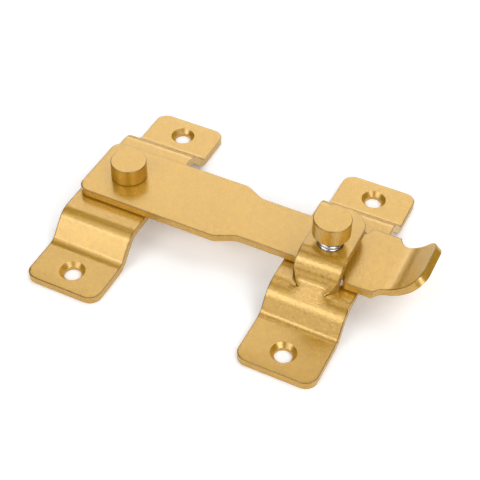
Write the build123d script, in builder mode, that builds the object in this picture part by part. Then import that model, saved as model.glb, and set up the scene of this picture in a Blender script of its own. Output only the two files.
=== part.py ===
from build123d import *
import os
from math import cos, radians, sin, sqrt, tan

# Barn door latch: a flat bar swings on a pivot bracket and drops into a keeper bracket,
# where a thumb screw through the keeper's tongue clamps it.
# Millimetres. +Z points away from the door, +X from the pivot to the keeper, and the
# keeper is open towards +Y. The origin is on the mounting face, under the pivot.

# Strip that both brackets are folded from
sheet = 2.5
strap_width = 25.0
edge_break = 0.35
foot_corner_radius = 3.8

# Both brackets
bracket_length = 87.5
keeper_distance = 71.0
arch_clearance = 7.7
screw_spacing = 72.0
screw_hole_diameter = 5.5
countersink_diameter = 8.0
countersink_angle = 90.0

# Folds of the pivot bracket, shared by the keeper's far side
bridge_flat = 36.0
wall_angle = 47.0
foot_bend_radius = 4.0
crown_bend_radius = 3.5

# Folds of the keeper's near side
hump_start = 15.4
hump_wall_angle = 56.0
hump_foot_radius = 3.0
hump_crown_radius = 6.9

# Tongue lanced out of the keeper's bridge and bent over the bar
tongue_width = 14.6
tongue_root_width = 8.2
tongue_tip = 11.6
tongue_wall_angle = 72.0
tongue_root_angle = 11.0
tongue_root_radius = 2.0
tongue_crown_radius = 5.2
tongue_flare_height = 16.0
tongue_stretch = 2.0
slit_width = 0.6

# Latch bar
bar_sheet = 2.5
bar_tail = 12.0
bar_corner_radius = 3.5
bar_width = 25.0
waist_width = 18.5
shoulder_setback = 34.5
shoulder_length = 6.0
shoulder_corner_radius = 3.0
shoulder_hollow_radius = 6.0
head_offset = 7.3
head_length = 11.4
head_corner_radius = 1.5
lip_width = 19.0
lip_bend_radius = 6.0
lip_bend_angle = 28.0
lip_curl_radius = 14.0
lip_curl_angle = 22.0
lip_run = 5.4
lip_corner_radius = 5.0
notch_radius = 4.0
notch_overrun = 2.3

# Pivot
knob_diameter = 11.5
knob_height = 5.9
knob_edge = 0.35
shank_diameter = 8.0
tenon_diameter = 6.0
rivet_tail_diameter = 9.0
rivet_tail_height = 1.2
tail_edge = 0.5
washer_diameter = 15.0
washer_thickness = 0.5
bar_play = 0.1
running_clearance = 0.05

# Thumb screw
lock_offset = -4.3
stud_diameter = 8.0
stud_chamfer = 0.8
tongue_gap = 3.3
knob_rise = 3.9
stud_tip_gap = 0.5
stud_socket_depth = 4.4
stud_socket_gap = 0.2

# Most of a wall that one round at its end may take up
round_share = 0.48

# Heights and places that follow from the sizes above
bridge_top = arch_clearance + sheet
bar_bottom = bridge_top + washer_thickness
bar_top = bar_bottom + bar_sheet
tongue_top = bar_top + tongue_gap + sheet
lock_knob_base = tongue_top + knob_rise
stud_tip = bar_top + stud_tip_gap
half_length = bracket_length / 2
half_strap = strap_width / 2
half_tongue = tongue_width / 2
half_root = tongue_root_width / 2


def wall_straight(rise, angle, radii):
    """Straight length of a wall that climbs a rise between two bends of equal turn."""
    return (rise - radii * (1 - cos(radians(angle)))) / sin(radians(angle))


def wall_run(rise, angle, radii):
    """Length along the door that such a wall takes up, bends included."""
    return radii * sin(radians(angle)) + wall_straight(rise, angle, radii) * cos(radians(angle))


def folded_strip(start, heading, steps, thickness):
    """Draws a folded strip from its top line: a straight run, then a bend, in turn."""
    for run, radius, turn in steps:
        if run > 0:
            start = PolarLine(start, run, heading) @ 1
        if turn:
            start = JernArc(start, (cos(radians(heading)), sin(radians(heading))), radius, turn) @ 1
            heading += turn
    offset(amount=thickness, side=Side.RIGHT)


def screw_holes(x):
    """Two countersunk screw holes through the feet of the bracket that stands at x."""
    with Locations(Pos(x, 0, sheet)):
        with GridLocations(0, screw_spacing, 1, 2):
            CounterSinkHole(
                screw_hole_diameter / 2, countersink_diameter / 2, sheet, countersink_angle
            )


def round_foot_corners(bracket):
    """Rounds the four outer corners of a bracket's feet."""
    upright = bracket.edges().filter_by(Axis.Z)
    ends = upright.group_by(Axis.Y)[0] + upright.group_by(Axis.Y)[-1]
    fillet(ends, foot_corner_radius)


def break_rims(strap):
    """Breaks the sharp rims of a strap along its sides and round its ends."""
    rims = strap.faces().filter_by(Axis.X).edges().filter_by(Axis.Z, reverse=True)
    chamfer(rims, edge_break)


# Far wall of both brackets, and both walls of the pivot bracket
crown_top_radius = crown_bend_radius + sheet
wall_radii = foot_bend_radius + crown_top_radius
wall_length = wall_straight(arch_clearance, wall_angle, wall_radii)
foot_run = half_length - bridge_flat / 2 - wall_run(arch_clearance, wall_angle, wall_radii)

# Pivot bracket: foot, wall, bridge, wall, foot
with BuildPart() as pivot_bracket:
    with BuildSketch(Plane.YZ):
        with BuildLine():
            folded_strip(
                (-half_length, sheet),
                0,
                [
                    (foot_run, foot_bend_radius, wall_angle),
                    (wall_length, crown_top_radius, -wall_angle),
                    (bridge_flat, crown_top_radius, -wall_angle),
                    (wall_length, foot_bend_radius, wall_angle),
                    (foot_run, 0, 0),
                ],
                sheet,
            )
        make_face()
    extrude(amount=half_strap, both=True)
    round_foot_corners(pivot_bracket)
    break_rims(pivot_bracket)
    screw_holes(0)
    with Locations(Pos(0, 0, bridge_top)):
        Hole(tenon_diameter / 2 + running_clearance, sheet)

# Near wall of the keeper, up to the line where the tongue leaves the strap
hump_top_radius = hump_crown_radius + sheet
hump_radii = hump_foot_radius + hump_top_radius
hump_length = wall_straight(arch_clearance, hump_wall_angle, hump_radii)
hump_foot_run = half_length - hump_start - wall_run(arch_clearance, hump_wall_angle, hump_radii)
root_y = -hump_start - hump_top_radius * sin(radians(tongue_root_angle))
root_z = bridge_top - hump_top_radius * (1 - cos(radians(tongue_root_angle)))

# Tongue's own folds
tongue_crown_top = tongue_crown_radius + sheet
tongue_bend = tongue_wall_angle - tongue_root_angle
root_rise = tongue_root_radius * (
    cos(radians(tongue_root_angle)) - cos(radians(tongue_wall_angle))
)
root_run = tongue_root_radius * (
    sin(radians(tongue_wall_angle)) - sin(radians(tongue_root_angle))
)
crown_drop = tongue_crown_top * (1 - cos(radians(tongue_wall_angle)))
crown_run = tongue_crown_top * sin(radians(tongue_wall_angle))
tongue_wall = (tongue_top - root_z - root_rise - crown_drop) / sin(radians(tongue_wall_angle))
tongue_wall_run = tongue_wall * cos(radians(tongue_wall_angle))
tongue_flat = tongue_tip - root_y - root_run - tongue_wall_run - crown_run

# Window that the tongue leaves behind: as long as the tongue was before it was bent
half_sheet = sheet / 2
tongue_blank = (
    radians(tongue_bend) * (tongue_root_radius + half_sheet)
    + tongue_wall
    + radians(tongue_wall_angle) * (tongue_crown_radius + half_sheet)
    + tongue_flat
    - tongue_stretch
)
window_radius = half_tongue + slit_width
window_tip = (
    -hump_start
    + tongue_blank
    - radians(tongue_root_angle) * (hump_crown_radius + half_sheet)
    + slit_width
)
flare_z = tongue_flare_height - root_z - root_rise
flare_y = root_y + root_run + flare_z / tan(radians(tongue_wall_angle))
flare_wall = flare_z / sin(radians(tongue_wall_angle))
flare_blank = radians(tongue_bend) * (tongue_root_radius + half_sheet) + flare_wall


def tongue_outline(root, wide, start_y, flare_end_y, tip_y):
    """Draws a half-round tab, flared from its root, as seen from above the keeper."""
    right = Polyline((wide, tip_y - wide), (wide, flare_end_y), (root, root_y), (root, start_y))
    left = Polyline((-root, start_y), (-root, root_y), (-wide, flare_end_y), (-wide, tip_y - wide))
    Line(right @ 1, left @ 0)
    ThreePointArc(left @ 1, (0, tip_y), right @ 0)


keeper_plan = Plane((keeper_distance, 0, 0))
keeper_side = Plane.YZ.offset(keeper_distance)

# Tongue, before it is joined to the strap at its root
with BuildPart() as tongue:
    with BuildSketch(keeper_side):
        with BuildLine():
            folded_strip(
                (root_y, root_z),
                tongue_root_angle,
                [
                    (0, tongue_root_radius, tongue_bend),
                    (tongue_wall, tongue_crown_top, -tongue_wall_angle),
                    (tongue_flat, 0, 0),
                ],
                sheet,
            )
        make_face()
    extrude(amount=half_strap, both=True)
    with BuildSketch(keeper_plan):
        with BuildLine():
            tongue_outline(half_root, half_tongue, root_y - sheet, flare_y, tongue_tip)
        make_face()
    extrude(amount=tongue_top + sheet, mode=Mode.INTERSECT)
    break_rims(tongue)
    with Locations(Pos(keeper_distance, lock_offset, tongue_top)):
        Hole(stud_diameter / 2 + running_clearance, tongue_gap + sheet)

# Keeper bracket: foot, steep wall and hump, then two side strips past the window,
# the far wall and foot, and the tongue out of the middle
with BuildPart() as keeper_bracket:
    with BuildSketch(keeper_side):
        with BuildLine():
            folded_strip(
                (root_y, root_z),
                tongue_root_angle,
                [
                    (0, hump_top_radius, -tongue_root_angle),
                    (hump_start + bridge_flat / 2, crown_top_radius, -wall_angle),
                    (wall_length, foot_bend_radius, wall_angle),
                    (foot_run, 0, 0),
                ],
                sheet,
            )
        make_face()
    extrude(amount=half_strap, both=True)
    with BuildSketch(keeper_plan):
        with BuildLine():
            tongue_outline(
                half_root + slit_width, window_radius, root_y - sheet, root_y + flare_blank, window_tip
            )
        make_face()
    extrude(amount=tongue_top, mode=Mode.SUBTRACT)
    with BuildSketch(keeper_side):
        with BuildLine():
            folded_strip(
                (-half_length, sheet),
                0,
                [
                    (hump_foot_run, hump_foot_radius, hump_wall_angle),
                    (hump_length, hump_top_radius, tongue_root_angle - hump_wall_angle),
                ],
                sheet,
            )
        make_face()
    extrude(amount=half_strap, both=True)
    round_foot_corners(keeper_bracket)
    break_rims(keeper_bracket)
    screw_holes(keeper_distance)
    add(tongue.part)

# Latch bar: plan cut from flat, its end curled up into a finger lip
shoulder_start = keeper_distance - shoulder_setback
head_start = keeper_distance + head_offset
lip_bend_start = head_start + head_length
notch_end = lip_bend_start + notch_overrun
half_bar = bar_width / 2
half_waist = waist_width / 2
half_lip = lip_width / 2
head_round = min(head_corner_radius, (half_bar - half_waist) * round_share)
notch_start = notch_end - sqrt(notch_radius**2 - (notch_radius - half_bar + half_lip) ** 2)
lip_reach = lip_bend_start + lip_bend_radius + lip_curl_radius + lip_run

with BuildPart() as latch_bar:
    with BuildSketch(Plane.XZ):
        with BuildLine():
            folded_strip(
                (-bar_tail, bar_top),
                0,
                [
                    (bar_tail + lip_bend_start, lip_bend_radius, lip_bend_angle),
                    (0, lip_curl_radius, lip_curl_angle),
                    (lip_run, 0, 0),
                ],
                bar_sheet,
            )
        make_face()
    extrude(amount=half_bar, both=True)
    with BuildSketch(Plane.XY):
        with BuildLine():
            side = FilletPolyline(
                (-bar_tail, 0),
                (-bar_tail, half_bar),
                (shoulder_start, half_bar),
                (shoulder_start + shoulder_length, half_waist),
                (head_start, half_waist),
                (head_start, half_bar),
                (notch_start, half_bar),
                radius=[
                    bar_corner_radius,
                    shoulder_corner_radius,
                    shoulder_hollow_radius,
                    head_round,
                    head_round,
                ],
            )
            notch = RadiusArc(side @ 1, (notch_end, half_lip), -notch_radius)
            Polyline(notch @ 1, (lip_reach, half_lip), (lip_reach, 0))
            mirror(about=Plane.XZ)
        make_face()
    extrude(amount=lip_reach, mode=Mode.INTERSECT)
    lip_end = latch_bar.faces().sort_by(Axis.X)[-1]
    fillet(lip_end.edges().sort_by(SortBy.LENGTH)[:2], lip_corner_radius)
    rims = latch_bar.faces().filter_by(Axis.Z).edges()
    folds = rims.filter_by(Axis.Y).filter_by_position(
        Axis.X, lip_bend_start - edge_break, lip_bend_start + edge_break
    )
    chamfer(rims - folds, edge_break)
    with Locations(Pos(0, 0, bar_top)):
        Hole(shank_diameter / 2 + running_clearance, bar_sheet)

# Pivot washer under the bar
with BuildPart() as pivot_washer:
    with BuildSketch(Plane.XY.offset(bridge_top)):
        Circle(washer_diameter / 2)
        Circle(shank_diameter / 2 + running_clearance, mode=Mode.SUBTRACT)
    extrude(amount=washer_thickness)

# Pivot rivet: knob, journal for the bar, tenon through the bridge, headed over below
knob_base = bar_top + bar_play
knob_radius = knob_diameter / 2
shank_radius = shank_diameter / 2
tenon_radius = tenon_diameter / 2
tail_radius = rivet_tail_diameter / 2
tail_bottom = arch_clearance - rivet_tail_height

with BuildPart() as pivot_rivet:
    with BuildSketch(Plane.XZ):
        with BuildLine():
            Polyline(
                (0, tail_bottom),
                (tail_radius - tail_edge, tail_bottom),
                (tail_radius, tail_bottom + tail_edge),
                (tail_radius, arch_clearance),
                (tenon_radius, arch_clearance),
                (tenon_radius, bridge_top),
                (shank_radius, bridge_top),
                (shank_radius, knob_base),
                (knob_radius, knob_base),
                (knob_radius, knob_base + knob_height - knob_edge),
                (knob_radius - knob_edge, knob_base + knob_height),
                (0, knob_base + knob_height),
                close=True,
            )
        make_face()
    revolve(axis=Axis.Z)

# Thumb screw: plain knob with a blind socket, and the stud that it turns
lock_axis = Plane((keeper_distance, lock_offset, 0))
stud_radius = stud_diameter / 2

with BuildPart() as lock_knob:
    with BuildSketch(lock_axis.offset(lock_knob_base)):
        Circle(knob_radius)
    extrude(amount=knob_height)
    chamfer(lock_knob.faces().sort_by(Axis.Z)[-1].edges(), knob_edge)
    with BuildSketch(lock_axis.offset(lock_knob_base)):
        Circle(stud_radius + running_clearance)
    extrude(amount=stud_socket_depth, mode=Mode.SUBTRACT)

with BuildPart() as lock_stud:
    with BuildSketch(lock_axis.offset(stud_tip)):
        Circle(stud_radius)
    extrude(amount=lock_knob_base + stud_socket_depth - stud_socket_gap - stud_tip)
    chamfer(lock_stud.faces().sort_by(Axis.Z)[0].edges(), stud_chamfer)

pieces = {
    "pivot_bracket": pivot_bracket,
    "keeper_bracket": keeper_bracket,
    "latch_bar": latch_bar,
    "pivot_washer": pivot_washer,
    "pivot_rivet": pivot_rivet,
    "lock_knob": lock_knob,
    "lock_stud": lock_stud,
}
os.makedirs("parts", exist_ok=True)
for name, piece in pieces.items():
    piece.part.label = name
    export_step(piece.part, f"parts/{name}.step")
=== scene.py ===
from bisect import bisect_right
from math import cos, pi, radians, sin, tan

import bmesh
import bpy
from bpy.props import FloatProperty, FloatVectorProperty, IntProperty, PointerProperty
from mathutils import Matrix, Quaternion, Vector
from mathutils.kdtree import KDTree


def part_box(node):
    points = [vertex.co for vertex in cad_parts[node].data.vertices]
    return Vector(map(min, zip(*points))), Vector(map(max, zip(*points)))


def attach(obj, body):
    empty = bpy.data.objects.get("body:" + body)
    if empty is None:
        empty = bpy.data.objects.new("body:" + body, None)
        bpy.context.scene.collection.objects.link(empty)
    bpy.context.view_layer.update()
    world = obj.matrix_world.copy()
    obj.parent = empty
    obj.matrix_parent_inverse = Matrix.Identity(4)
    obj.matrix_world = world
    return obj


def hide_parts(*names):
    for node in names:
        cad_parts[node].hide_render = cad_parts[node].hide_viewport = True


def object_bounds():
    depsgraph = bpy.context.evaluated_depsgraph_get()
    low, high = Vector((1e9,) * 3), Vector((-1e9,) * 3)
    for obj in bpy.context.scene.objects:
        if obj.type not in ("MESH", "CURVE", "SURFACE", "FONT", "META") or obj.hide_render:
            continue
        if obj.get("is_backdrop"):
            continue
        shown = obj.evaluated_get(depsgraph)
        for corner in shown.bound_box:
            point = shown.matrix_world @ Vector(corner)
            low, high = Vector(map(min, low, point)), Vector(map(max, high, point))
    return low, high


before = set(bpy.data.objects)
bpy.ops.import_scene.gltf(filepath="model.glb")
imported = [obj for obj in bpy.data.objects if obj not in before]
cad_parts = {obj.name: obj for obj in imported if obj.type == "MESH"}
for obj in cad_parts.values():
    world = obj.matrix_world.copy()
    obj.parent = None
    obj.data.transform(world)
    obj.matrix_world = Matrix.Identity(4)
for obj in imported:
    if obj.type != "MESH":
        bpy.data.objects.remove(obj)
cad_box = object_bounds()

bl_info = {
    "name": "Barn Door Latch",
    "version": (1, 0, 0),
    "blender": (4, 5, 0),
    "location": "View3D > Sidebar > Latch",
    "description": "Paints the latch, threads its thumb screw and sets the table and the lamps",
    "category": "Object",
}

MM = 0.001

# Points closer than this are one point, and an edge sharper than this stays crisp.
JOIN_GAP = 0.0005 * MM
SHARP_ANGLE = radians(40)
# Clearance of the stud in the thumb knob's socket.
SOCKET_GAP = 0.05 * MM

# Face attribute that is 1 along a sheet's rims and a knob's edges, where a dark line of painted
# shade is laid.
RIM_SHADE_MARK = "rim"
# How far a face on a knob's edge leans at least, away from the knob's side and its flat.
EDGE_TILT = 0.05
# A rim's break is narrower than the first and its border longer than the second, both in
# widths of the rim.
BREAK_WIDEST = 2
BREAK_SHORTEST = 20
# How much large faces count in the shading of the rims beside them: 50 is even, 100 the most.
FLAT_WEIGHT = 100

# The paint. The grain is turned askew, so that no flat face lies along the noise's own cells.
GOLD = "gold_satin_paint"
GRAIN_TURN = (0.5, 0.7, 0.3)
GRAIN_DETAIL = 1.0
GRAIN_ROUGHNESS = 0.6
GRAIN_SPREAD = (0.25, 0.75)
GRAIN_STRENGTH = 0.6
ROUGHNESS_SPREAD = 0.02
FILM_IOR = 2.3
FILM_TINT = (1.0, 0.995, 0.78, 1.0)

# The zinc plate, with the width of one turning mark.
ZINC = "bright_zinc_plate"
ZINC_DEEP = (0.60, 0.60, 0.61, 1.0)
ZINC_LIGHT = (0.80, 0.80, 0.80, 1.0)
ZINC_ROUGHNESS = (0.14, 0.30)
ZINC_MARK = 0.6 * MM
ZINC_DETAIL = 3.0

# The thread: rings along the core, how far the tip's taper goes in as a share of its length,
# turns over which the ridge grows, and half of the ridge's foot as a share of the pitch.
# The ridge is the outer half of a kite, whose other half lies in the core.
CORE_RINGS = 40
TIP_TAPER = 0.8
RUN_IN_TURNS = 0.8
RIDGE_FOOT = 0.46

# Points of the sheet's line across one cell of the drawn neck.
LINE_POINTS = 8

# The photo's camera, found from the latch's outline. The table lies just below the feet.
CAMERA_PLACE = Vector((142.576, -221.818, 249.297)) * MM
CAMERA_AHEAD = Vector((-0.29579734, 0.63722566, -0.71165117))
CAMERA_RIGHT = Vector((0.89906644, 0.43744215, 0.01799745))
CAMERA_SENSOR = 36.0
CAMERA_REACH = (0.01, 20.0)
TABLE_DROP = 0.05 * MM

# The one node that keeps its own mesh is the washer. A finer piece stands for each other one.
PIVOT_STRAP = "pivot_bracket"
BAR = "latch_bar"
KEEPER = "keeper_bracket"
RIVET = "pivot_rivet"
THUMB_KNOB = "lock_knob"
STUD = "lock_stud"
WASHER = "pivot_washer"
BRACKETS_BODY = "brackets"
BAR_BODY = "bar"
KNOB_BODY = "knob"
SCREW_BODY = "screw"

stud_low, stud_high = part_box(STUD)
stud_axis = (stud_low + stud_high) / 2


def node_at(tree, kind, place, **values):
    """Adds a node to the tree and sets the named properties on it."""
    made = tree.nodes.new(kind)
    made.location = place
    for name, value in values.items():
        setattr(made, name, value)
    return made


def named(sockets, name):
    """The first enabled socket of that name."""
    for socket in sockets:
        if socket.name == name and socket.enabled:
            return socket
    raise KeyError(f"no enabled socket is called {name}")


def out_of(made, name):
    """The first enabled output of that name."""
    return named(made.outputs, name)


def into(made, name):
    """The first enabled input of that name."""
    return named(made.inputs, name)


def set_input(made, name, value):
    """Sets a plain value on the first enabled input of that name."""
    into(made, name).default_value = value


def new_material(name):
    """An empty material with its output, and the principled shader wired to it."""
    old = bpy.data.materials.get(name)
    if old:
        bpy.data.materials.remove(old)
    made = bpy.data.materials.new(name)
    made.use_nodes = True
    tree = made.node_tree
    tree.nodes.clear()
    output = node_at(tree, "ShaderNodeOutputMaterial", (900, 0))
    shader = node_at(tree, "ShaderNodeBsdfPrincipled", (600, 0))
    tree.links.new(out_of(shader, "BSDF"), into(output, "Surface"))
    return made, tree, shader


def put_on(thing, material):
    """Puts the material in every slot of the object, and leaves its mesh as it is."""
    for slot in thing.material_slots:
        slot.link = "OBJECT"
        slot.material = material


class LatchPaint(bpy.types.PropertyGroup):
    """The satin gold paint on the straps, the bar and both knobs."""

    flake_light: FloatVectorProperty(
        name="Flake light",
        description="Colour of the paint where its flakes lie flat",
        subtype="COLOR",
        size=3,
        min=0.0,
        max=1.0,
        default=(0.75, 0.404, 0.026),
    )
    flake_deep: FloatVectorProperty(
        name="Flake deep",
        description="Colour of the paint between its flakes",
        subtype="COLOR",
        size=3,
        min=0.0,
        max=1.0,
        default=(0.335, 0.162, 0.007),
    )
    # Painted shade: a dark colour laid along the rims and the knobs' edges, standing in for the
    # shade on them, and how much of it shows.
    rim_shade_colour: FloatVectorProperty(
        name="Edge colour",
        description="Colour of the paint where it has drawn thin along an edge",
        subtype="COLOR",
        size=3,
        min=0.0,
        max=1.0,
        default=(0.17, 0.068, 0.003),
    )
    rim_shade_cover: FloatProperty(
        name="Edge cover",
        description="How much of the edge colour shows along an edge",
        min=0.0,
        max=1.0,
        default=0.65,
    )
    metal: FloatProperty(
        name="Metal",
        description="How much of the paint is metal flake",
        min=0.0,
        max=1.0,
        default=0.27,
    )
    roughness: FloatProperty(
        name="Roughness",
        description="Mean roughness of the satin film",
        min=0.0,
        max=1.0,
        default=0.27,
    )
    grain: FloatProperty(
        name="Grain",
        description="Width of one grain of the sprayed film",
        unit="LENGTH",
        default=0.45 * MM,
    )
    grain_depth: FloatProperty(
        name="Grain depth",
        description="Height of the grain in the film",
        unit="LENGTH",
        default=0.01 * MM,
    )


class LatchRims(bpy.types.PropertyGroup):
    """The punched rims of the straps and the bar."""

    width: FloatProperty(
        name="Width",
        description="Width and depth of the plain break along a rim",
        unit="LENGTH",
        default=0.35 * MM,
    )
    roll: FloatProperty(
        name="Roll",
        description="Depth of the shallow roll that the punch leaves along a rim",
        unit="LENGTH",
        default=0.12 * MM,
    )
    side: FloatProperty(
        name="Side",
        description="Greatest width of a cut side of the sheet",
        unit="LENGTH",
        default=2.4 * MM,
    )


class LatchTongue(bpy.types.PropertyGroup):
    """The keeper's sheet as it is cut and bent, and the neck that is drawn into it."""

    bridge: FloatProperty(
        name="Bridge",
        description="Height of the top of the strap's bridge",
        unit="LENGTH",
        default=10.2 * MM,
    )
    hump_start: FloatProperty(
        name="Hump start",
        description="Place along the strap where the bridge turns down into the hump",
        unit="LENGTH",
        default=-15.4 * MM,
    )
    hump_radius: FloatProperty(
        name="Hump radius",
        description="Outer radius of the hump",
        unit="LENGTH",
        default=9.4 * MM,
    )
    root_slope: FloatProperty(
        name="Root slope",
        description="Slope of the strap where the tongue leaves it",
        subtype="ANGLE",
        default=radians(11),
    )
    root_radius: FloatProperty(
        name="Root radius",
        description="Radius of the plain bend at the tongue's root",
        unit="LENGTH",
        default=2.0 * MM,
    )
    root_half: FloatProperty(
        name="Root half width",
        description="Half of the tongue's width between the ends of its slits",
        unit="LENGTH",
        default=4.15 * MM,
    )
    wall_slope: FloatProperty(
        name="Wall slope",
        description="Slope of the tongue's wall",
        subtype="ANGLE",
        default=radians(72),
    )
    wall: FloatProperty(
        name="Wall",
        description="Straight length of the tongue's wall",
        unit="LENGTH",
        default=2.42 * MM,
    )
    neck_slope: FloatProperty(
        name="Neck slope",
        description="Slope at which the drawn neck leaves the hump",
        subtype="ANGLE",
        default=radians(35),
    )
    neck_radius: FloatProperty(
        name="Neck radius",
        description="Radius of the drawn bend from the neck to the wall",
        unit="LENGTH",
        default=3.3 * MM,
    )
    neck_half: FloatProperty(
        name="Neck half width",
        description="Half of the width over which the neck is fully drawn",
        unit="LENGTH",
        default=3.0 * MM,
    )
    spread: FloatProperty(
        name="Spread",
        description="Distance from the middle where the drawing has died away",
        unit="LENGTH",
        default=7.5 * MM,
    )
    settle: FloatProperty(
        name="Settle",
        description="Length past the slits' ends where the side strips lie flat again",
        unit="LENGTH",
        default=4.0 * MM,
    )
    cell: FloatProperty(
        name="Cell",
        description="Width of the cells that the neck is divided into",
        unit="LENGTH",
        default=0.4 * MM,
    )


class LatchKnobs(bpy.types.PropertyGroup):
    """The turned pivot knob with its rivet, and the knob of the thumb screw."""

    height: FloatProperty(
        name="Height",
        description="Height of a knob",
        unit="LENGTH",
        default=5.9 * MM,
    )
    edge: FloatProperty(
        name="Edge",
        description="Radius of a knob's rounded edges",
        unit="LENGTH",
        default=0.35 * MM,
    )
    shank: FloatProperty(
        name="Shank",
        description="Radius of the journal that the bar swings on",
        unit="LENGTH",
        default=4.0 * MM,
    )
    tenon: FloatProperty(
        name="Tenon",
        description="Radius of the tenon through the strap",
        unit="LENGTH",
        default=3.0 * MM,
    )
    tail: FloatProperty(
        name="Tail",
        description="Radius of the head that is beaten over below the strap",
        unit="LENGTH",
        default=4.5 * MM,
    )
    tail_height: FloatProperty(
        name="Tail height",
        description="Height of the head below the strap",
        unit="LENGTH",
        default=1.2 * MM,
    )
    strap: FloatProperty(
        name="Strap",
        description="Thickness of the strap that the tenon goes through",
        unit="LENGTH",
        default=2.5 * MM,
    )
    sides: IntProperty(
        name="Sides",
        description="Faces round a knob",
        min=24,
        default=96,
    )
    round_steps: IntProperty(
        name="Round steps",
        description="Faces across a rounded edge",
        min=1,
        default=4,
    )


class LatchThread(bpy.types.PropertyGroup):
    """The thumb screw's stud."""

    pitch: FloatProperty(
        name="Pitch",
        description="Height of one turn of the thread",
        unit="LENGTH",
        default=1.25 * MM,
    )
    depth: FloatProperty(
        name="Depth",
        description="Height of the thread's ridge over its root",
        unit="LENGTH",
        default=0.65 * MM,
    )
    lead: FloatProperty(
        name="Lead",
        description="Length of the taper at the tip",
        unit="LENGTH",
        default=0.8 * MM,
    )
    sides: IntProperty(
        name="Sides",
        description="Points round one turn",
        min=16,
        default=56,
    )


class LatchStage(bpy.types.PropertyGroup):
    """The table, the lamps and the camera."""

    floor_size: FloatProperty(
        name="Floor size",
        description="Side of the square table",
        unit="LENGTH",
        default=6.0,
    )
    floor_colour: FloatVectorProperty(
        name="Floor colour",
        description="Colour of the table",
        subtype="COLOR",
        size=3,
        min=0.0,
        max=1.0,
        default=(0.9, 0.9, 0.9),
    )
    floor_lift: FloatProperty(
        name="Floor lift",
        description="Light that the table adds for the camera and in reflections",
        default=0.22,
    )
    room: FloatProperty(
        name="Room",
        description="Level of the room's own light",
        default=0.03,
    )
    lens: FloatProperty(
        name="Lens",
        description="Focal length of the camera",
        unit="CAMERA",
        default=82.2986,
    )


def gold_paint():
    """Satin gold paint: flakes in a clear film, with a fine sprayed grain and a dark line of
    painted shade along the rims and the knobs' edges.
    """
    paint = bpy.context.scene.latch_paint
    material, tree, shader = new_material(GOLD)
    link = tree.links.new
    where = node_at(tree, "ShaderNodeTexCoord", (-900, 0))
    askew = node_at(tree, "ShaderNodeMapping", (-780, 150))
    set_input(askew, "Rotation", GRAIN_TURN)
    link(out_of(where, "Object"), into(askew, "Vector"))
    grain = node_at(tree, "ShaderNodeTexNoise", (-600, 150))
    set_input(grain, "Scale", 1.0 / paint.grain)
    set_input(grain, "Detail", GRAIN_DETAIL)
    set_input(grain, "Roughness", GRAIN_ROUGHNESS)
    link(out_of(askew, "Vector"), into(grain, "Vector"))
    tone = node_at(tree, "ShaderNodeMix", (-150, 200), data_type="RGBA")
    set_input(tone, "A", (*paint.flake_deep, 1.0))
    set_input(tone, "B", (*paint.flake_light, 1.0))
    spread = node_at(tree, "ShaderNodeMapRange", (-400, 200))
    set_input(spread, "From Min", GRAIN_SPREAD[0])
    set_input(spread, "From Max", GRAIN_SPREAD[1])
    link(out_of(grain, "Fac"), into(spread, "Value"))
    link(out_of(spread, "Result"), into(tone, "Factor"))
    # Painted shade: the rim mark mixes a dark colour in along the rims and the knobs' edges.
    rim = node_at(tree, "ShaderNodeAttribute", (-400, 480), attribute_name=RIM_SHADE_MARK)
    shade_share = node_at(tree, "ShaderNodeMapRange", (-150, 480))
    set_input(shade_share, "To Max", paint.rim_shade_cover)
    link(out_of(rim, "Fac"), into(shade_share, "Value"))
    rim_shaded = node_at(tree, "ShaderNodeMix", (50, 300), data_type="RGBA")
    set_input(rim_shaded, "B", (*paint.rim_shade_colour, 1.0))
    link(out_of(shade_share, "Result"), into(rim_shaded, "Factor"))
    link(out_of(tone, "Result"), into(rim_shaded, "A"))
    link(out_of(rim_shaded, "Result"), into(shader, "Base Color"))
    rough = node_at(tree, "ShaderNodeMapRange", (-400, -50))
    set_input(rough, "To Min", paint.roughness + ROUGHNESS_SPREAD)
    set_input(rough, "To Max", paint.roughness - ROUGHNESS_SPREAD)
    link(out_of(grain, "Fac"), into(rough, "Value"))
    link(out_of(rough, "Result"), into(shader, "Roughness"))
    bump = node_at(tree, "ShaderNodeBump", (200, -250))
    set_input(bump, "Strength", GRAIN_STRENGTH)
    set_input(bump, "Distance", paint.grain_depth)
    link(out_of(grain, "Fac"), into(bump, "Height"))
    link(out_of(bump, "Normal"), into(shader, "Normal"))
    set_input(shader, "Metallic", paint.metal)
    set_input(shader, "IOR", FILM_IOR)
    set_input(shader, "Specular Tint", FILM_TINT)
    return material


def bright_zinc():
    """Bright zinc plate, with faint marks from turning."""
    material, tree, shader = new_material(ZINC)
    link = tree.links.new
    where = node_at(tree, "ShaderNodeTexCoord", (-900, 0))
    marks = node_at(tree, "ShaderNodeTexNoise", (-650, 0))
    set_input(marks, "Scale", 1.0 / ZINC_MARK)
    set_input(marks, "Detail", ZINC_DETAIL)
    link(out_of(where, "Object"), into(marks, "Vector"))
    tone = node_at(tree, "ShaderNodeMix", (-150, 200), data_type="RGBA")
    set_input(tone, "A", ZINC_DEEP)
    set_input(tone, "B", ZINC_LIGHT)
    link(out_of(marks, "Fac"), into(tone, "Factor"))
    link(out_of(tone, "Result"), into(shader, "Base Color"))
    rough = node_at(tree, "ShaderNodeMapRange", (-400, -50))
    set_input(rough, "To Min", ZINC_ROUGHNESS[0])
    set_input(rough, "To Max", ZINC_ROUGHNESS[1])
    link(out_of(marks, "Fac"), into(rough, "Value"))
    link(out_of(rough, "Result"), into(shader, "Roughness"))
    set_input(shader, "Metallic", 1.0)
    return material


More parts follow.
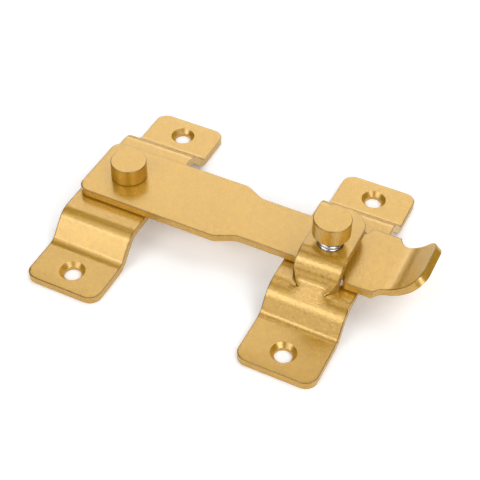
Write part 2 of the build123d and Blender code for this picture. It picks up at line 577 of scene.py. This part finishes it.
def maths(tree, operation, first, second, place):
    """A maths node on two values, each a number or another node's output."""
    made = node_at(tree, "ShaderNodeMath", place, operation=operation)
    for socket, value in zip(made.inputs, (first, second)):
        if isinstance(value, (int, float)):
            socket.default_value = value
        else:
            tree.links.new(value, socket)
    return made.outputs[0]


def swept(tree, path, profile, size, place):
    """Sweeps the profile along the path at a size that changes along it, with closed ends."""
    made = node_at(tree, "GeometryNodeCurveToMesh", place)
    for name, value in (("Curve", path), ("Profile Curve", profile), ("Scale", size)):
        tree.links.new(value.outputs[0], into(made, name))
    set_input(made, "Fill Caps", True)
    return made


def stud_core(tree, given, root):
    """Nodes for the stud's core, as thick as the thread's root and tapered at its tip."""
    link = tree.links.new
    bottom, top, lead = (given.outputs[name] for name in ("Bottom", "Top", "Lead"))
    spine = node_at(tree, "GeometryNodeCurvePrimitiveLine", (-700, 500))
    for end, height in (("Start", bottom), ("End", top)):
        point = node_at(tree, "ShaderNodeCombineXYZ", (-900, 500))
        link(height, point.inputs["Z"])
        link(point.outputs[0], into(spine, end))
    rings = node_at(tree, "GeometryNodeResampleCurve", (-500, 500))
    set_input(rings, "Count", CORE_RINGS)
    link(spine.outputs[0], into(rings, "Curve"))
    place = node_at(tree, "GeometryNodeInputPosition", (-700, 700))
    level = node_at(tree, "ShaderNodeSeparateXYZ", (-500, 700))
    link(place.outputs[0], level.inputs[0])
    taper = node_at(tree, "ShaderNodeMapRange", (-300, 700))
    link(level.outputs["Z"], into(taper, "Value"))
    link(bottom, into(taper, "From Min"))
    link(maths(tree, "ADD", bottom, lead, (-500, 850)), into(taper, "From Max"))
    inwards = maths(tree, "MULTIPLY", lead, TIP_TAPER, (-700, 950))
    link(maths(tree, "SUBTRACT", root, inwards, (-500, 950)), into(taper, "To Min"))
    link(root, into(taper, "To Max"))
    ring = node_at(tree, "GeometryNodeCurvePrimitiveCircle", (-100, 300))
    set_input(ring, "Radius", 1.0)
    link(given.outputs["Sides"], into(ring, "Resolution"))
    return swept(tree, rings, ring, taper, (100, 500))


def stud_ridge(tree, given, root):
    """Nodes for the thread's ridge, which grows out of the core at the tip."""
    link = tree.links.new
    bottom, top, pitch = (given.outputs[name] for name in ("Bottom", "Top", "Pitch"))
    length = maths(tree, "SUBTRACT", top, bottom, (-1150, 150))
    turns = maths(tree, "DIVIDE", length, pitch, (-950, 150))
    spiral = node_at(tree, "GeometryNodeCurveSpiral", (-700, 0))
    link(given.outputs["Sides"], into(spiral, "Resolution"))
    link(turns, into(spiral, "Rotations"))
    link(root, into(spiral, "Start Radius"))
    link(root, into(spiral, "End Radius"))
    link(length, into(spiral, "Height"))
    upright = node_at(tree, "GeometryNodeSetCurveNormal", (-500, 0), mode="Z_UP")
    link(spiral.outputs[0], into(upright, "Curve"))
    along = node_at(tree, "GeometryNodeSplineParameter", (-700, -250))
    run_in = node_at(tree, "ShaderNodeMapRange", (-500, -250))
    link(along.outputs["Factor"], into(run_in, "Value"))
    link(maths(tree, "DIVIDE", RUN_IN_TURNS, turns, (-700, -400)), into(run_in, "From Max"))
    kite = node_at(tree, "GeometryNodeCurvePrimitiveQuadrilateral", (-300, -200), mode="KITE")
    link(maths(tree, "MULTIPLY", given.outputs["Depth"], 2.0, (-500, -550)), into(kite, "Width"))
    foot = maths(tree, "MULTIPLY", pitch, RIDGE_FOOT, (-500, -700))
    for half in ("Bottom Height", "Top Height"):
        link(foot, into(kite, half))
    ridge = swept(tree, upright, kite, run_in, (100, 0))
    raised = node_at(tree, "GeometryNodeTransform", (300, 0))
    lift = node_at(tree, "ShaderNodeCombineXYZ", (100, -200))
    link(bottom, lift.inputs["Z"])
    link(ridge.outputs[0], into(raised, "Geometry"))
    link(lift.outputs[0], into(raised, "Translation"))
    return raised


def thread_tree(material):
    """Nodes that sweep a ridge up a spiral round the stud's tapered core."""
    tree = bpy.data.node_groups.new("stud_thread", "GeometryNodeTree")
    add_socket = tree.interface.new_socket
    add_socket("Geometry", in_out="OUTPUT", socket_type="NodeSocketGeometry")
    for name in ("Bottom", "Top", "Radius", "Depth", "Pitch", "Lead"):
        add_socket(name, in_out="INPUT", socket_type="NodeSocketFloat")
    add_socket("Sides", in_out="INPUT", socket_type="NodeSocketInt")
    add_socket("Axis", in_out="INPUT", socket_type="NodeSocketVector")
    link = tree.links.new
    given = node_at(tree, "NodeGroupInput", (-1400, 0))
    root = maths(tree, "SUBTRACT", given.outputs["Radius"], given.outputs["Depth"], (-1150, 300))
    both = node_at(tree, "GeometryNodeJoinGeometry", (500, 200))
    link(stud_core(tree, given, root).outputs[0], both.inputs[0])
    link(stud_ridge(tree, given, root).outputs[0], both.inputs[0])
    placed = node_at(tree, "GeometryNodeTransform", (700, 200))
    link(both.outputs[0], into(placed, "Geometry"))
    link(given.outputs["Axis"], into(placed, "Translation"))
    smooth = node_at(tree, "GeometryNodeSetShadeSmooth", (900, 200))
    set_input(smooth, "Shade Smooth", True)
    link(placed.outputs[0], into(smooth, "Geometry"))
    real = node_at(tree, "GeometryNodeRealizeInstances", (1100, 200))
    link(smooth.outputs[0], into(real, "Geometry"))
    plated = node_at(tree, "GeometryNodeSetMaterial", (1300, 200))
    link(real.outputs[0], into(plated, "Geometry"))
    set_input(plated, "Material", material)
    result = node_at(tree, "NodeGroupOutput", (1500, 200))
    link(plated.outputs[0], result.inputs[0])
    return tree


def made_by(tree, name, values):
    """Runs the tree on an empty mesh and returns its result as a plain mesh object."""
    thing = bpy.data.objects.new(name, bpy.data.meshes.new(name))
    bpy.context.scene.collection.objects.link(thing)
    run = thing.modifiers.new(name, "NODES")
    run.node_group = tree
    for socket in tree.interface.items_tree:
        if socket.item_type == "SOCKET" and socket.in_out == "INPUT":
            run[socket.identifier] = values[socket.name]
    graph = bpy.context.evaluated_depsgraph_get()
    mesh = bpy.data.meshes.new_from_object(thing.evaluated_get(graph), depsgraph=graph)
    thing.modifiers.remove(run)
    thing.data = mesh
    mesh.name = name
    return thing


def soft_rims_tree():
    """Nodes that join a piece's loose faces and shade it smooth over its broken rims."""
    name = "soft_rims"
    if name in bpy.data.node_groups:
        return bpy.data.node_groups[name]
    tree = bpy.data.node_groups.new(name, "GeometryNodeTree")
    for way in ("INPUT", "OUTPUT"):
        tree.interface.new_socket("Geometry", in_out=way, socket_type="NodeSocketGeometry")
    link = tree.links.new
    given = node_at(tree, "NodeGroupInput", (-600, 0))
    joined = node_at(tree, "GeometryNodeMergeByDistance", (-400, 0))
    set_input(joined, "Distance", JOIN_GAP)
    smooth = node_at(tree, "GeometryNodeSetShadeSmooth", (-200, 0))
    set_input(smooth, "Shade Smooth", True)
    angle = node_at(tree, "GeometryNodeInputMeshEdgeAngle", (-400, -250))
    sharp = node_at(tree, "ShaderNodeMath", (-200, -250), operation="GREATER_THAN")
    sharp.inputs[1].default_value = SHARP_ANGLE
    crisp = node_at(tree, "GeometryNodeSetShadeSmooth", (0, 0), domain="EDGE")
    set_input(crisp, "Shade Smooth", False)
    result = node_at(tree, "NodeGroupOutput", (200, 0))
    link(given.outputs[0], into(joined, "Geometry"))
    link(joined.outputs[0], into(smooth, "Geometry"))
    link(smooth.outputs[0], into(crisp, "Geometry"))
    link(angle.outputs["Unsigned Angle"], sharp.inputs[0])
    link(sharp.outputs[0], into(crisp, "Selection"))
    link(crisp.outputs[0], result.inputs[0])
    return tree


def soften(thing):
    """Rounds the look of a piece's rims, with its flat faces kept flat."""
    rims = thing.modifiers.new("soft_rims", "NODES")
    rims.node_group = soft_rims_tree()
    flat = thing.modifiers.new("flat_faces", "WEIGHTED_NORMAL")
    flat.mode = "FACE_AREA"
    flat.weight = FLAT_WEIGHT
    flat.keep_sharp = True


def finished(name, mesh, material, body, node):
    """Links a finished piece that rides on a body and stands for a node."""
    thing = bpy.data.objects.new(name, mesh)
    bpy.context.scene.collection.objects.link(thing)
    mesh.materials.clear()
    mesh.materials.append(material)
    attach(thing, body)
    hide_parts(node)
    return thing


def turned(name, outline, middle, sides):
    """A mesh turned from an outline of (radius, height) that starts and ends on the axis."""
    shape = bmesh.new()
    mark = shape.faces.layers.float.new(RIM_SHADE_MARK)
    rings = []
    for radius, height in outline:
        if radius == 0:
            rings.append([shape.verts.new((middle.x, middle.y, height))])
            continue
        ring = []
        for step in range(sides):
            turn = 2 * pi * step / sides
            ring.append(
                shape.verts.new(
                    (middle.x + radius * cos(turn), middle.y + radius * sin(turn), height)
                )
            )
        rings.append(ring)
    for low, high in zip(rings, rings[1:]):
        for step in range(sides):
            after = (step + 1) % sides
            corners = [low[step % len(low)], low[after % len(low)]]
            corners += [high[after % len(high)], high[step % len(high)]]
            shape.faces.new(list(dict.fromkeys(corners)))
    bmesh.ops.recalc_face_normals(shape, faces=shape.faces)
    shape.normal_update()
    # The faces of the rounded edges are marked for the dark line of painted shade.
    for face in shape.faces:
        face[mark] = float(EDGE_TILT < abs(face.normal.z) < 1.0 - EDGE_TILT)
    return as_mesh(shape, name)


def rounded(radius, height, edge, inwards, upwards, steps):
    """Points round a turned piece's outer edge, from its side to its flat or back."""
    middle_radius = radius - edge
    middle_height = height - upwards * edge
    points = []
    for step in range(steps + 1):
        turn = pi / 2 * step / steps
        if not inwards:
            turn = pi / 2 - turn
        points.append(
            (middle_radius + edge * cos(turn), middle_height + upwards * edge * sin(turn))
        )
    return points


def patches(shape):
    """Yields each set of faces that join without a ridge, with the length of its border."""
    left = set(shape.faces)
    while left:
        first = left.pop()
        patch, waiting, border = {first}, [first], 0.0
        while waiting:
            face = waiting.pop()
            for edge in face.edges:
                others = [near for near in edge.link_faces if near is not face]
                if not others or edge.calc_face_angle(pi) > SHARP_ANGLE:
                    border += edge.calc_length()
                elif others[0] in left:
                    left.discard(others[0])
                    patch.add(others[0])
                    waiting.append(others[0])
        yield patch, border


def punched(node):
    """A copy of a sheet's mesh whose plain rims are turned into the shallow roll of a punch."""
    rims = bpy.context.scene.latch_rims
    shape = bmesh.new()
    shape.from_mesh(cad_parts[node].data)
    mark = shape.faces.layers.float.new(RIM_SHADE_MARK)
    bmesh.ops.remove_doubles(shape, verts=shape.verts, dist=JOIN_GAP)
    shape.normal_update()
    breaks, sides = set(), set()
    for patch, border in patches(shape):
        width = 2 * sum(face.calc_area() for face in patch) / border
        if width < BREAK_WIDEST * rims.width and border > BREAK_SHORTEST * rims.width:
            breaks |= patch
        elif width < rims.side:
            sides |= patch
    moves = []
    for point in shape.verts:
        out = [face.normal for face in point.link_faces if face in sides]
        up = sum((face.normal for face in point.link_faces if face in breaks), Vector())
        flat = any(face not in sides and face not in breaks for face in point.link_faces)
        if out and up.length > 0 and not flat:
            for normal in out * 2:
                up = up - normal * up.dot(normal)
            moves.append((point, up.normalized() * (rims.width - rims.roll)))
    for point, move in moves:
        point.co += move
    # The breaks are marked for the dark line of painted shade.
    for face in breaks:
        face[mark] = 1.0
    return shape


def as_mesh(shape, name):
    """Turns the shape into a mesh of that name."""
    mesh = bpy.data.meshes.new(name)
    shape.to_mesh(mesh)
    shape.free()
    return mesh


class LATCH_OT_paint_straps(bpy.types.Operator):
    """Punch and paint the pivot strap and the bar"""

    bl_idname = "latch.paint_straps"
    bl_label = "Punch and paint the pivot strap and the bar"

    def execute(self, context):
        material = gold_paint()
        mesh = as_mesh(punched(PIVOT_STRAP), "pivot_strap")
        soften(finished("pivot_strap", mesh, material, BRACKETS_BODY, PIVOT_STRAP))
        mesh = as_mesh(punched(BAR), "swing_bar")
        soften(finished("swing_bar", mesh, material, BAR_BODY, BAR))
        return {"FINISHED"}


def fade(value, near, far):
    """One up to the near value, zero from the far value on, and smooth between them."""
    share = min(max((value - near) / (far - near), 0.0), 1.0)
    return 1.0 - share * share * (3.0 - 2.0 * share)


class SheetLine:
    """The top line of a bent sheet, seen from its side, as closely spaced points."""

    def __init__(self, start, slope, steps, spacing):
        """Follows the steps, each a length and the turn over it, from the start."""
        place, far = Vector(start), 0.0
        self.points, self.slopes, self.distances = [place], [slope], [far]
        for length, turn in steps:
            count = max(1, round(length / spacing))
            for _ in range(count):
                slope += turn / count / 2
                place = place + Vector((cos(slope), sin(slope))) * length / count
                slope += turn / count / 2
                far += length / count
                self.points.append(place)
                self.slopes.append(slope)
                self.distances.append(far)
        self.tree = KDTree(len(self.points))
        for index, point in enumerate(self.points):
            self.tree.insert((point.x, point.y, 0.0), index)
        self.tree.balance()

    def nearest(self, place):
        """Distance along the line of its point nearest to the place."""
        return self.distances[self.tree.find((place.x, place.y, 0.0))[1]]

    def frame_at(self, distance):
        """Point, run and rise directions of the sheet at a distance along the line."""
        index = min(bisect_right(self.distances, distance), len(self.points) - 1)
        before, after = self.distances[index - 1], self.distances[index]
        share = min(max((distance - before) / (after - before), 0.0), 1.0)
        point = self.points[index - 1].lerp(self.points[index], share)
        slope = self.slopes[index - 1] + (self.slopes[index] - self.slopes[index - 1]) * share
        return point, Vector((cos(slope), sin(slope))), Vector((-sin(slope), cos(slope)))


class DrawnNeck:
    """Moves points of the plain bent tongue to where the drawn neck has them."""

    def __init__(self, tongue):
        self.tongue = tongue
        spacing = tongue.cell / LINE_POINTS
        start_slope, wall_slope = tongue.neck_slope, tongue.wall_slope
        root_slope = tongue.root_slope
        middle = Vector((tongue.hump_start, tongue.bridge - tongue.hump_radius))
        start = middle + Vector((-sin(start_slope), cos(start_slope))) * tongue.hump_radius
        hump = start_slope - root_slope
        bend = wall_slope - root_slope
        self.root = tongue.hump_radius * hump
        # The plain line goes over the hump, round the bend at the root and up the wall.
        steps = [(self.root, -hump), (tongue.root_radius * bend, bend), (tongue.wall, 0.0)]
        self.plain = SheetLine(start, start_slope, steps, spacing)
        # The strips beside the slits go over the whole hump and on along the bridge.
        steps = [(tongue.hump_radius * start_slope, -start_slope), (tongue.settle * 2, 0.0)]
        self.strip = SheetLine(start, start_slope, steps, spacing)
        # The drawn line rises straight, bends once and ends where the plain line does.
        off = self.plain.points[-1] - start
        first = Vector((cos(start_slope), sin(start_slope)))
        second = Vector((cos(wall_slope), sin(wall_slope)))
        turn = wall_slope - start_slope
        corner = tongue.neck_radius * tan(turn / 2)
        crossed = first.x * second.y - first.y * second.x
        rise = (off.x * second.y - off.y * second.x) / crossed - corner
        rest = (first.x * off.y - first.y * off.x) / crossed - corner
        if rise <= 0 or rest < 0:
            raise ValueError("the neck's radius is too large for its slope")
        steps = [(rise, 0.0), (tongue.neck_radius * turn, turn), (rest, 0.0)]
        self.drawn = SheetLine(start, start_slope, steps, spacing)
        self.root_place = middle.x - tongue.hump_radius * sin(root_slope)

    def shift(self, point):
        """How far the drawing moves a point of the sheet."""
        tongue = self.tongue
        across = abs(point.x - stud_axis.x)
        weight = fade(across, tongue.neck_half, tongue.spread)
        place = Vector((point.y, point.z))
        # Beyond the root, what lies outside the slits and under the bridge's top is a side strip.
        beside = across > tongue.root_half and place.x > self.root_place
        if beside and place.y < tongue.bridge + JOIN_GAP:
            far = self.strip.nearest(place)
            weight *= fade(far - self.root, 0.0, tongue.settle)
            distance = min(far, self.root)
            base, run, rise = self.strip.frame_at(far)
            height, over = (place - base).dot(rise), 0.0
            base, run, rise = self.plain.frame_at(distance)
        else:
            distance = self.plain.nearest(place)
            base, run, rise = self.plain.frame_at(distance)
            height, over = (place - base).dot(rise), (place - base).dot(run)
        if weight == 0.0:
            return Vector((0.0, 0.0, 0.0))
        share = distance / self.plain.distances[-1]
        to, to_run, to_rise = self.drawn.frame_at(share * self.drawn.distances[-1])
        moved = to + to_rise * height + to_run * over - base - rise * height - run * over
        return Vector((0.0, moved.x, moved.y)) * weight


def divide(shape, low, high, cell):
    """Cuts the faces that reach into the box from low to high into cells."""
    for axis in range(3):
        across = Vector((axis == 0, axis == 1, axis == 2))
        picked = [
            face
            for face in shape.faces
            if all(
                min(point.co[way] for point in face.verts) < high[way]
                and max(point.co[way] for point in face.verts) > low[way]
                for way in range(3)
            )
        ]
        edges = {edge for face in picked for edge in face.edges}
        points = {point for face in picked for point in face.verts}
        part = [*points, *edges, *picked]
        for cut in range(int((high[axis] - low[axis]) / cell) + 2):
            part = bmesh.ops.bisect_plane(
                shape,
                geom=part,
                dist=JOIN_GAP,
                plane_co=low + across * cell * cut,
                plane_no=across,
            )["geom"]


class LATCH_OT_draw_keeper(bpy.types.Operator):
    """Draw the neck of the keeper's tongue smoothly out of its strap"""

    bl_idname = "latch.draw_keeper"
    bl_label = "Draw the keeper's tongue"

    def execute(self, context):
        tongue = context.scene.latch_tongue
        neck = DrawnNeck(tongue)
        shape = punched(KEEPER)
        start, end = neck.plain.points[0], neck.plain.points[-1]
        low = Vector((stud_axis.x - tongue.spread, start.x, tongue.bridge - tongue.hump_radius / 2))
        high = Vector((stud_axis.x + tongue.spread, end.x + tongue.settle, end.y))
        divide(shape, low, high, tongue.cell)
        shifts = [neck.shift(point.co) for point in shape.verts]
        for point, shift in zip(shape.verts, shifts):
            point.co += shift
        mesh = as_mesh(shape, "keeper_strap")
        material = bpy.data.materials[GOLD]
        soften(finished("keeper_strap", mesh, material, BRACKETS_BODY, KEEPER))
        return {"FINISHED"}


class LATCH_OT_turn_knobs(bpy.types.Operator):
    """Turn the pivot knob with its rivet, and the knob of the thumb screw"""

    bl_idname = "latch.turn_knobs"
    bl_label = "Turn the knobs"

    def execute(self, context):
        knobs = context.scene.latch_knobs
        material = bpy.data.materials[GOLD]
        edge, steps = knobs.edge, knobs.round_steps

        # Both knobs are turned to one radius, which is the rivet's widest.
        low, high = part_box(RIVET)
        radius = (high.x - low.x) / 2
        base = high.z - knobs.height
        under = low.z + knobs.tail_height
        over = under + knobs.strap
        outline = [(0.0, low.z)]
        outline += rounded(knobs.tail, low.z, edge, False, -1, steps)
        outline += [(knobs.tail, under), (knobs.tenon, under), (knobs.tenon, over)]
        outline += [(knobs.shank, over), (knobs.shank, base)]
        outline += rounded(radius, base, edge, False, -1, steps)
        outline += rounded(radius, high.z, edge, True, 1, steps)
        outline += [(0.0, high.z)]
        mesh = turned("pivot_knob", outline, (low + high) / 2, knobs.sides)
        soften(finished("pivot_knob", mesh, material, BRACKETS_BODY, RIVET))

        low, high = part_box(THUMB_KNOB)
        socket = (stud_high.x - stud_low.x) / 2 + SOCKET_GAP
        outline = [(0.0, stud_high.z + SOCKET_GAP), (socket, stud_high.z + SOCKET_GAP)]
        outline += [(socket, low.z)]
        outline += rounded(radius, low.z, edge, False, -1, steps)
        outline += rounded(radius, high.z, edge, True, 1, steps)
        outline += [(0.0, high.z)]
        mesh = turned("thumb_knob", outline, (low + high) / 2, knobs.sides)
        soften(finished("thumb_knob", mesh, material, KNOB_BODY, THUMB_KNOB))
        return {"FINISHED"}


class LATCH_OT_plate_washer(bpy.types.Operator):
    """Plate the washer under the bar"""

    bl_idname = "latch.plate_washer"
    bl_label = "Plate the washer"

    def execute(self, context):
        put_on(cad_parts[WASHER], bright_zinc())
        return {"FINISHED"}


class LATCH_OT_thread_stud(bpy.types.Operator):
    """Cut the thread of the thumb screw's stud"""

    bl_idname = "latch.thread_stud"
    bl_label = "Thread the stud"

    def execute(self, context):
        thread = context.scene.latch_thread
        zinc = bpy.data.materials[ZINC]
        values = {
            "Bottom": stud_low.z,
            "Top": stud_high.z,
            "Radius": (stud_high.x - stud_low.x) / 2,
            "Depth": thread.depth,
            "Pitch": thread.pitch,
            "Lead": thread.lead,
            "Sides": thread.sides,
            "Axis": (stud_axis.x, stud_axis.y, 0.0),
        }
        stud = made_by(thread_tree(zinc), "threaded_stud", values)
        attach(stud, SCREW_BODY)
        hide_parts(STUD)
        return {"FINISHED"}


# Each lamp: the way to it from the latch, its two sides in metres, its roll in degrees about
# that way, and its brightness. All of them stand at one distance from the latch, in metres.
LAMP_DISTANCE = 0.9
LAMPS = {
    "front_strip": ((-0.35, -0.674, 0.651), 0.56, 0.24, 45, 2.9),
    "front_softbox": ((-0.25, -0.596, 0.763), 0.80, 0.75, 0, 1.2),
    "front_low_strip": ((-0.25, -0.921, 0.299), 0.60, 0.22, 0, 1.6),
    "top_softbox": ((-0.20, 0.20, 0.959), 0.40, 0.30, 0, 1.3),
    "far_softbox": ((-0.25, 0.696, 0.673), 0.80, 0.42, 0, 1.9),
    "far_low_strip": ((-0.30, 0.891, 0.342), 0.90, 0.28, 0, 2.8),
    "top_right_softbox": ((0.45, 0.201, 0.87), 0.50, 0.50, 0, 3.2),
    "right_softbox": ((0.70, -0.50, 0.52), 0.50, 0.50, 0, 4.2),
}


def area_lamp(name, towards, wide, high, roll, level):
    """A rectangular lamp that faces the latch, with its power from its brightness."""
    data = bpy.data.lights.new(name, "AREA")
    data.shape = "RECTANGLE"
    data.size, data.size_y = wide, high
    data.energy = level * pi * wide * high
    lamp = bpy.data.objects.new(name, data)
    bpy.context.scene.collection.objects.link(lamp)
    middle = (cad_box[0] + cad_box[1]) / 2
    way = Vector(towards).normalized()
    lamp.location = middle + way * LAMP_DISTANCE
    turn = way.to_track_quat("Z", "Y") @ Quaternion((0.0, 0.0, 1.0), radians(roll))
    lamp.rotation_euler = turn.to_euler()


def white_table(stage):
    """Matt white that adds its lift only for the camera and in what mirrors or bends the light."""
    material = bpy.data.materials.new("white_table")
    material.use_nodes = True
    tree = material.node_tree
    tree.nodes.clear()
    link = tree.links.new
    output = node_at(tree, "ShaderNodeOutputMaterial", (600, 0))
    matt = node_at(tree, "ShaderNodeBsdfDiffuse", (0, 100))
    set_input(matt, "Color", (*stage.floor_colour, 1.0))
    lift = node_at(tree, "ShaderNodeEmission", (0, -100))
    path = node_at(tree, "ShaderNodeLightPath", (-600, -100))
    seen = node_at(tree, "ShaderNodeMath", (-400, -100), operation="MAXIMUM")
    link(path.outputs["Is Camera Ray"], seen.inputs[0])
    link(path.outputs["Is Glossy Ray"], seen.inputs[1])
    shown = node_at(tree, "ShaderNodeMath", (-300, -200), operation="MAXIMUM")
    link(seen.outputs[0], shown.inputs[0])
    link(path.outputs["Is Transmission Ray"], shown.inputs[1])
    level = node_at(tree, "ShaderNodeMath", (-200, -100), operation="MULTIPLY")
    link(shown.outputs[0], level.inputs[0])
    level.inputs[1].default_value = stage.floor_lift
    link(level.outputs[0], into(lift, "Strength"))
    both = node_at(tree, "ShaderNodeAddShader", (300, 0))
    link(matt.outputs[0], both.inputs[0])
    link(lift.outputs[0], both.inputs[1])
    link(both.outputs[0], into(output, "Surface"))
    return material


def photo_camera(stage):
    """A camera that stands and looks as the photo's own did."""
    data = bpy.data.cameras.new("camera")
    data.sensor_width = CAMERA_SENSOR
    data.lens = stage.lens
    data.clip_start, data.clip_end = CAMERA_REACH
    camera = bpy.data.objects.new("camera", data)
    bpy.context.scene.collection.objects.link(camera)
    ahead, right = CAMERA_AHEAD.normalized(), CAMERA_RIGHT.normalized()
    turn = Matrix((right, right.cross(ahead), -ahead)).transposed().to_4x4()
    camera.matrix_world = Matrix.Translation(CAMERA_PLACE) @ turn
    return camera


class LATCH_OT_set_stage(bpy.types.Operator):
    """Set the white table, the lamps and the camera"""

    bl_idname = "latch.set_stage"
    bl_label = "Set the stage"

    def execute(self, context):
        scene = context.scene
        stage = scene.latch_stage
        scene.view_settings.view_transform = "Standard"

        half = stage.floor_size / 2
        corners = [(-half, -half), (half, -half), (half, half), (-half, half)]
        mesh = bpy.data.meshes.new("table")
        mesh.from_pydata([(x, y, -TABLE_DROP) for x, y in corners], [], [(0, 1, 2, 3)])
        mesh.materials.append(white_table(stage))
        table = bpy.data.objects.new("table", mesh)
        scene.collection.objects.link(table)
        table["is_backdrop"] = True

        world = bpy.data.worlds.new("room")
        world.use_nodes = True
        scene.world = world
        room = world.node_tree.nodes["Background"]
        set_input(room, "Color", (1.0, 1.0, 1.0, 1.0))
        set_input(room, "Strength", stage.room)

        for name, setting in LAMPS.items():
            area_lamp(name, *setting)
        scene.camera = photo_camera(stage)
        return {"FINISHED"}


class LATCH_PT_builder(bpy.types.Panel):
    """Lists the latch's settings and its building steps"""

    bl_label = "Barn Door Latch"
    bl_idname = "LATCH_PT_builder"
    bl_space_type = "VIEW_3D"
    bl_region_type = "UI"
    bl_category = "Latch"

    def draw(self, context):
        scene = context.scene
        for settings, steps in (
            (scene.latch_paint, ()),
            (scene.latch_rims, (LATCH_OT_paint_straps,)),
            (scene.latch_tongue, (LATCH_OT_draw_keeper,)),
            (scene.latch_knobs, (LATCH_OT_turn_knobs,)),
            (scene.latch_thread, (LATCH_OT_plate_washer, LATCH_OT_thread_stud)),
            (scene.latch_stage, (LATCH_OT_set_stage,)),
        ):
            block = self.layout.box()
            for name in settings.__annotations__:
                block.prop(settings, name)
            for step in steps:
                block.operator(step.bl_idname)


GROUPS = {
    "latch_paint": LatchPaint,
    "latch_rims": LatchRims,
    "latch_tongue": LatchTongue,
    "latch_knobs": LatchKnobs,
    "latch_thread": LatchThread,
    "latch_stage": LatchStage,
}
STEPS = (
    LATCH_OT_paint_straps,
    LATCH_OT_draw_keeper,
    LATCH_OT_turn_knobs,
    LATCH_OT_plate_washer,
    LATCH_OT_thread_stud,
    LATCH_OT_set_stage,
)


def register():
    for cls in (*GROUPS.values(), *STEPS, LATCH_PT_builder):
        bpy.utils.register_class(cls)
    for name, cls in GROUPS.items():
        setattr(bpy.types.Scene, name, PointerProperty(type=cls))


def unregister():
    for name in GROUPS:
        delattr(bpy.types.Scene, name)
    for cls in (LATCH_PT_builder, *reversed(STEPS), *reversed(GROUPS.values())):
        bpy.utils.unregister_class(cls)


def main():
    register()
    bpy.ops.latch.paint_straps()
    bpy.ops.latch.draw_keeper()
    bpy.ops.latch.turn_knobs()
    bpy.ops.latch.plate_washer()
    bpy.ops.latch.thread_stud()
    bpy.ops.latch.set_stage()
    boxes = {"cad": cad_box, "visual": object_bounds()}
    {name: [list(corner) for corner in box] for name, box in boxes.items()}


if __name__ == "__main__":
    main()
